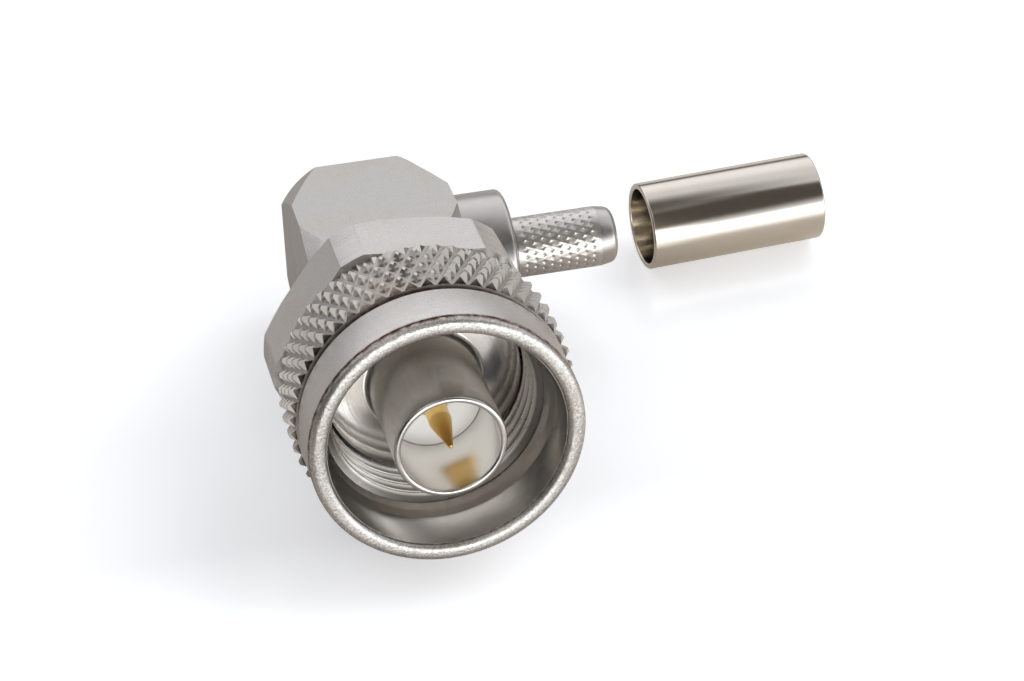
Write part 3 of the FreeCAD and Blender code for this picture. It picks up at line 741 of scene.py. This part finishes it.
# The room's plain light, and its panels, each laid over the ones before it: azimuth and
# elevation of the middle, half width, half height and softness in degrees, and the light's
# red, green and blue.
PLAIN_ROOM = (0.8, 0.8, 0.82)
ROOM = [
    (0, 90, 400, 20, 12, (0.13, 0.12, 0.11)),
    (0, 27, 58, 16, 12, (1.1, 1.1, 1.13)),
    (0, -10, 400, 18, 7, (0.05, 0.05, 0.06)),
    (75, 4, 38, 14, 8, (0.12, 0.12, 0.14)),
    (-106, 20, 30, 32, 12, (0.04, 0.04, 0.04)),
    (-145, 6, 18, 16, 8, (0.03, 0.03, 0.04)),
    (143, 50, 34, 24, 10, (0.09, 0.08, 0.07)),
    (190, 46, 18, 20, 10, (0.28, 0.26, 0.22)),
    (184, 15, 16, 9, 6, (4.2, 4.0, 3.7)),
    (154, 3, 42, 13, 6, (2.4, 2.5, 2.6)),
]

# The camera as it was fitted to the photograph: a long lens, close above the plug.
LENS, SENSOR = 112.5, 36.0
CAMERA_PLACE = (-0.0353065, -0.1502768, 0.1584542)
CAMERA_TURNS = (46.1799, -1.0799, -13.6632)


class PLUG_OT_stage(bpy.types.Operator):
    """Sets the pale floor, the studio light and the camera"""
    bl_idname = "plug.stage"
    bl_label = "Stage"

    def execute(self, context):
        scene = context.scene
        scene.view_settings.view_transform = "Standard"
        self.floor(scene)
        self.room(scene)
        self.lamp(scene, "key light", place=(0.48, 0.18, 0.48), size=0.7, energy=1.5)
        self.lamp(scene, "fill in front", place=MATE * 0.5, size=0.2, energy=1.0)
        camera = bpy.data.cameras.new("camera")
        camera.lens, camera.sensor_width = LENS, SENSOR
        camera.clip_start, camera.clip_end = 0.01, 5.0
        holder = bpy.data.objects.new("camera", camera)
        holder.location = CAMERA_PLACE
        holder.rotation_euler = [math.radians(turn) for turn in CAMERA_TURNS]
        scene.collection.objects.link(holder)
        scene.camera = holder
        return {"FINISHED"}

    def floor(self, scene):
        """White acrylic to the camera, with a painted shadow round the plug. The metal mirrors it as the grey that
        it really is, with painted light towards the right.
        """
        mesh = bmesh.new()
        bmesh.ops.create_grid(mesh, x_segments=1, y_segments=1, size=1.5)
        bmesh.ops.translate(mesh, verts=mesh.verts, vec=(0, 0, CAD_BOX[0][2]))
        data = bpy.data.meshes.new("floor")
        mesh.to_mesh(data)
        mesh.free()
        material, tree, white = new_shader("white acrylic floor")
        white["Base Color"].default_value = linear("#F2F4F8")
        white["Roughness"].default_value = 0.14
        white["IOR"].default_value = 1.45
        place = add(tree, "TexCoord", output="Object")
        parts = add(tree, "SeparateXYZ", (place,)).node.outputs
        # painted shadow: the floor glows to the camera, and the glow is weaker round the plug
        plug = add(tree, "CombineXYZ", (0.01, 0.012))
        flat = add(tree, "CombineXYZ", (parts["X"], parts["Y"]))
        away = add(tree, "VectorMath", (flat, plug), "Value", operation="DISTANCE")
        glow_with_painted_shadow = add(tree, "MapRange", (away, 0.028, 0.05, 0.26, 0.42))
        # painted light: the glow is stronger in front of the plug and behind it
        front = add(tree, "MapRange", (parts["Y"], -0.004, 0.006, 0.28, 0.0))
        rear = add(tree, "MapRange", (parts["Y"], 0.018, 0.03, 0.0, 0.1))
        painted_light_at_ends = add(tree, "Math", (front, rear), operation="ADD")
        light = add(tree, "Math", (glow_with_painted_shadow, painted_light_at_ends), operation="ADD")
        glow_and_painted_shade = add(tree, "Emission", {"Strength": light})
        body = tree.nodes["Principled BSDF"].outputs[0]
        shown = add(tree, "AddShader", (body, glow_and_painted_shade))
        # the metal sees it grey, with painted light making it brighter towards the lamp on the right
        grey = add(tree, "BsdfPrincipled", {"Base Color": linear("#B4AEA8"), "Roughness": 0.1,
                                            "IOR": 1.6})
        right = add(tree, "MapRange", (parts["X"], 0.014, 0.03, 0.0, 0.22))
        painted_light_on_right = add(tree, "Emission", {"Color": linear("#FFF4E4"), "Strength": right})
        mirrored = add(tree, "AddShader", (grey, painted_light_on_right))
        camera_ray = add(tree, "LightPath", output="Is Camera Ray")
        surface = add(tree, "MixShader", (camera_ray, mirrored, shown))
        tree.links.new(surface, tree.nodes["Material Output"].inputs["Surface"])
        data.materials.append(material)
        floor = bpy.data.objects.new("floor", data)
        scene.collection.objects.link(floor)

    def room(self, scene):
        """The studio as the metal mirrors it: panels of light and dark round the table."""
        world = bpy.data.worlds.new("studio")
        world.use_nodes = True
        scene.world = world
        tree = world.node_tree
        way = add(tree, "TexCoord", output="Generated")
        layers = [(self.panel(tree, way, *panel), (*light, 1)) for *panel, light in ROOM]
        # the camera sees a white backdrop
        layers.append((add(tree, "LightPath", output="Is Camera Ray"), (1, 1, 1, 1)))
        room = (*PLAIN_ROOM, 1)
        for share, over in layers:
            room = add(tree, "Mix", {0: share, MIX_FIRST: room, MIX_SECOND: over}, MIX_RESULT,
                       data_type="RGBA", clamp_result=False)
        tree.links.new(room, tree.nodes["Background"].inputs["Color"])

    def panel(self, tree, way, azimuth, elevation, wide, high, soft):
        """A soft-edged panel in the room; azimuth runs from the back (+Y) to the right."""
        turned_way = add(tree, "VectorRotate", {"Vector": way, "Angle": math.radians(azimuth)},
                         rotation_type="Z_AXIS")
        parts = add(tree, "SeparateXYZ", (turned_way,)).node.outputs
        side = add(tree, "Math", (parts["X"], parts["Y"]), operation="ARCTAN2")
        rise = add(tree, "Math", (parts["Z"],), operation="ARCSINE")
        rise = add(tree, "Math", (rise, math.radians(elevation)), operation="SUBTRACT")
        shares = []
        for angle, reach in ((side, wide), (rise, high)):
            away = add(tree, "Math", (angle,), operation="ABSOLUTE")
            edges = math.radians(reach - soft), math.radians(reach + soft)
            shares.append(add(tree, "MapRange", (away, *edges, 1.0, 0.0),
                              interpolation_type="SMOOTHSTEP"))
        return add(tree, "Math", shares, operation="MULTIPLY")

    def lamp(self, scene, name, place, size, energy):
        """A wide soft lamp aimed at the plug, which the metal doesn't mirror."""
        light = bpy.data.lights.new(name, "AREA")
        light.shape = "DISK"
        light.size = size
        light.energy = energy
        holder = bpy.data.objects.new(name, light)
        holder.location = place
        holder.rotation_euler = Vector(place).to_track_quat("Z", "Y").to_euler()
        holder.visible_glossy = False
        scene.collection.objects.link(holder)


OPERATORS = [PLUG_OT_block, PLUG_OT_contact, PLUG_OT_insulators, PLUG_OT_nut, PLUG_OT_neck,
             PLUG_OT_ferrule, PLUG_OT_stage]


class PLUG_PT_panel(bpy.types.Panel):
    bl_idname = "PLUG_PT_panel"
    bl_label = "Right-angle plug"
    bl_space_type = "VIEW_3D"
    bl_region_type = "UI"
    bl_category = "Plug"

    def draw(self, context):
        for operator in OPERATORS:
            self.layout.operator(operator.bl_idname)
        scene = context.scene
        for group, kind in ((scene.plug_sizes, PlugSizes), (scene.plug_finish, PlugFinish)):
            for name in kind.__annotations__:
                self.layout.prop(group, name)


CLASSES = [PlugSizes, PlugFinish] + OPERATORS + [PLUG_PT_panel]


def register():
    for item in CLASSES:
        bpy.utils.register_class(item)
    bpy.types.Scene.plug_sizes = bpy.props.PointerProperty(type=PlugSizes)
    bpy.types.Scene.plug_finish = bpy.props.PointerProperty(type=PlugFinish)


def unregister():
    del bpy.types.Scene.plug_finish
    del bpy.types.Scene.plug_sizes
    for item in reversed(CLASSES):
        bpy.utils.unregister_class(item)


def main():
    register()
    bpy.ops.plug.block()
    bpy.ops.plug.contact()
    bpy.ops.plug.insulators()
    bpy.ops.plug.nut()
    bpy.ops.plug.neck()
    bpy.ops.plug.ferrule()
    bpy.ops.plug.stage()


if __name__ == "__main__":
    main()
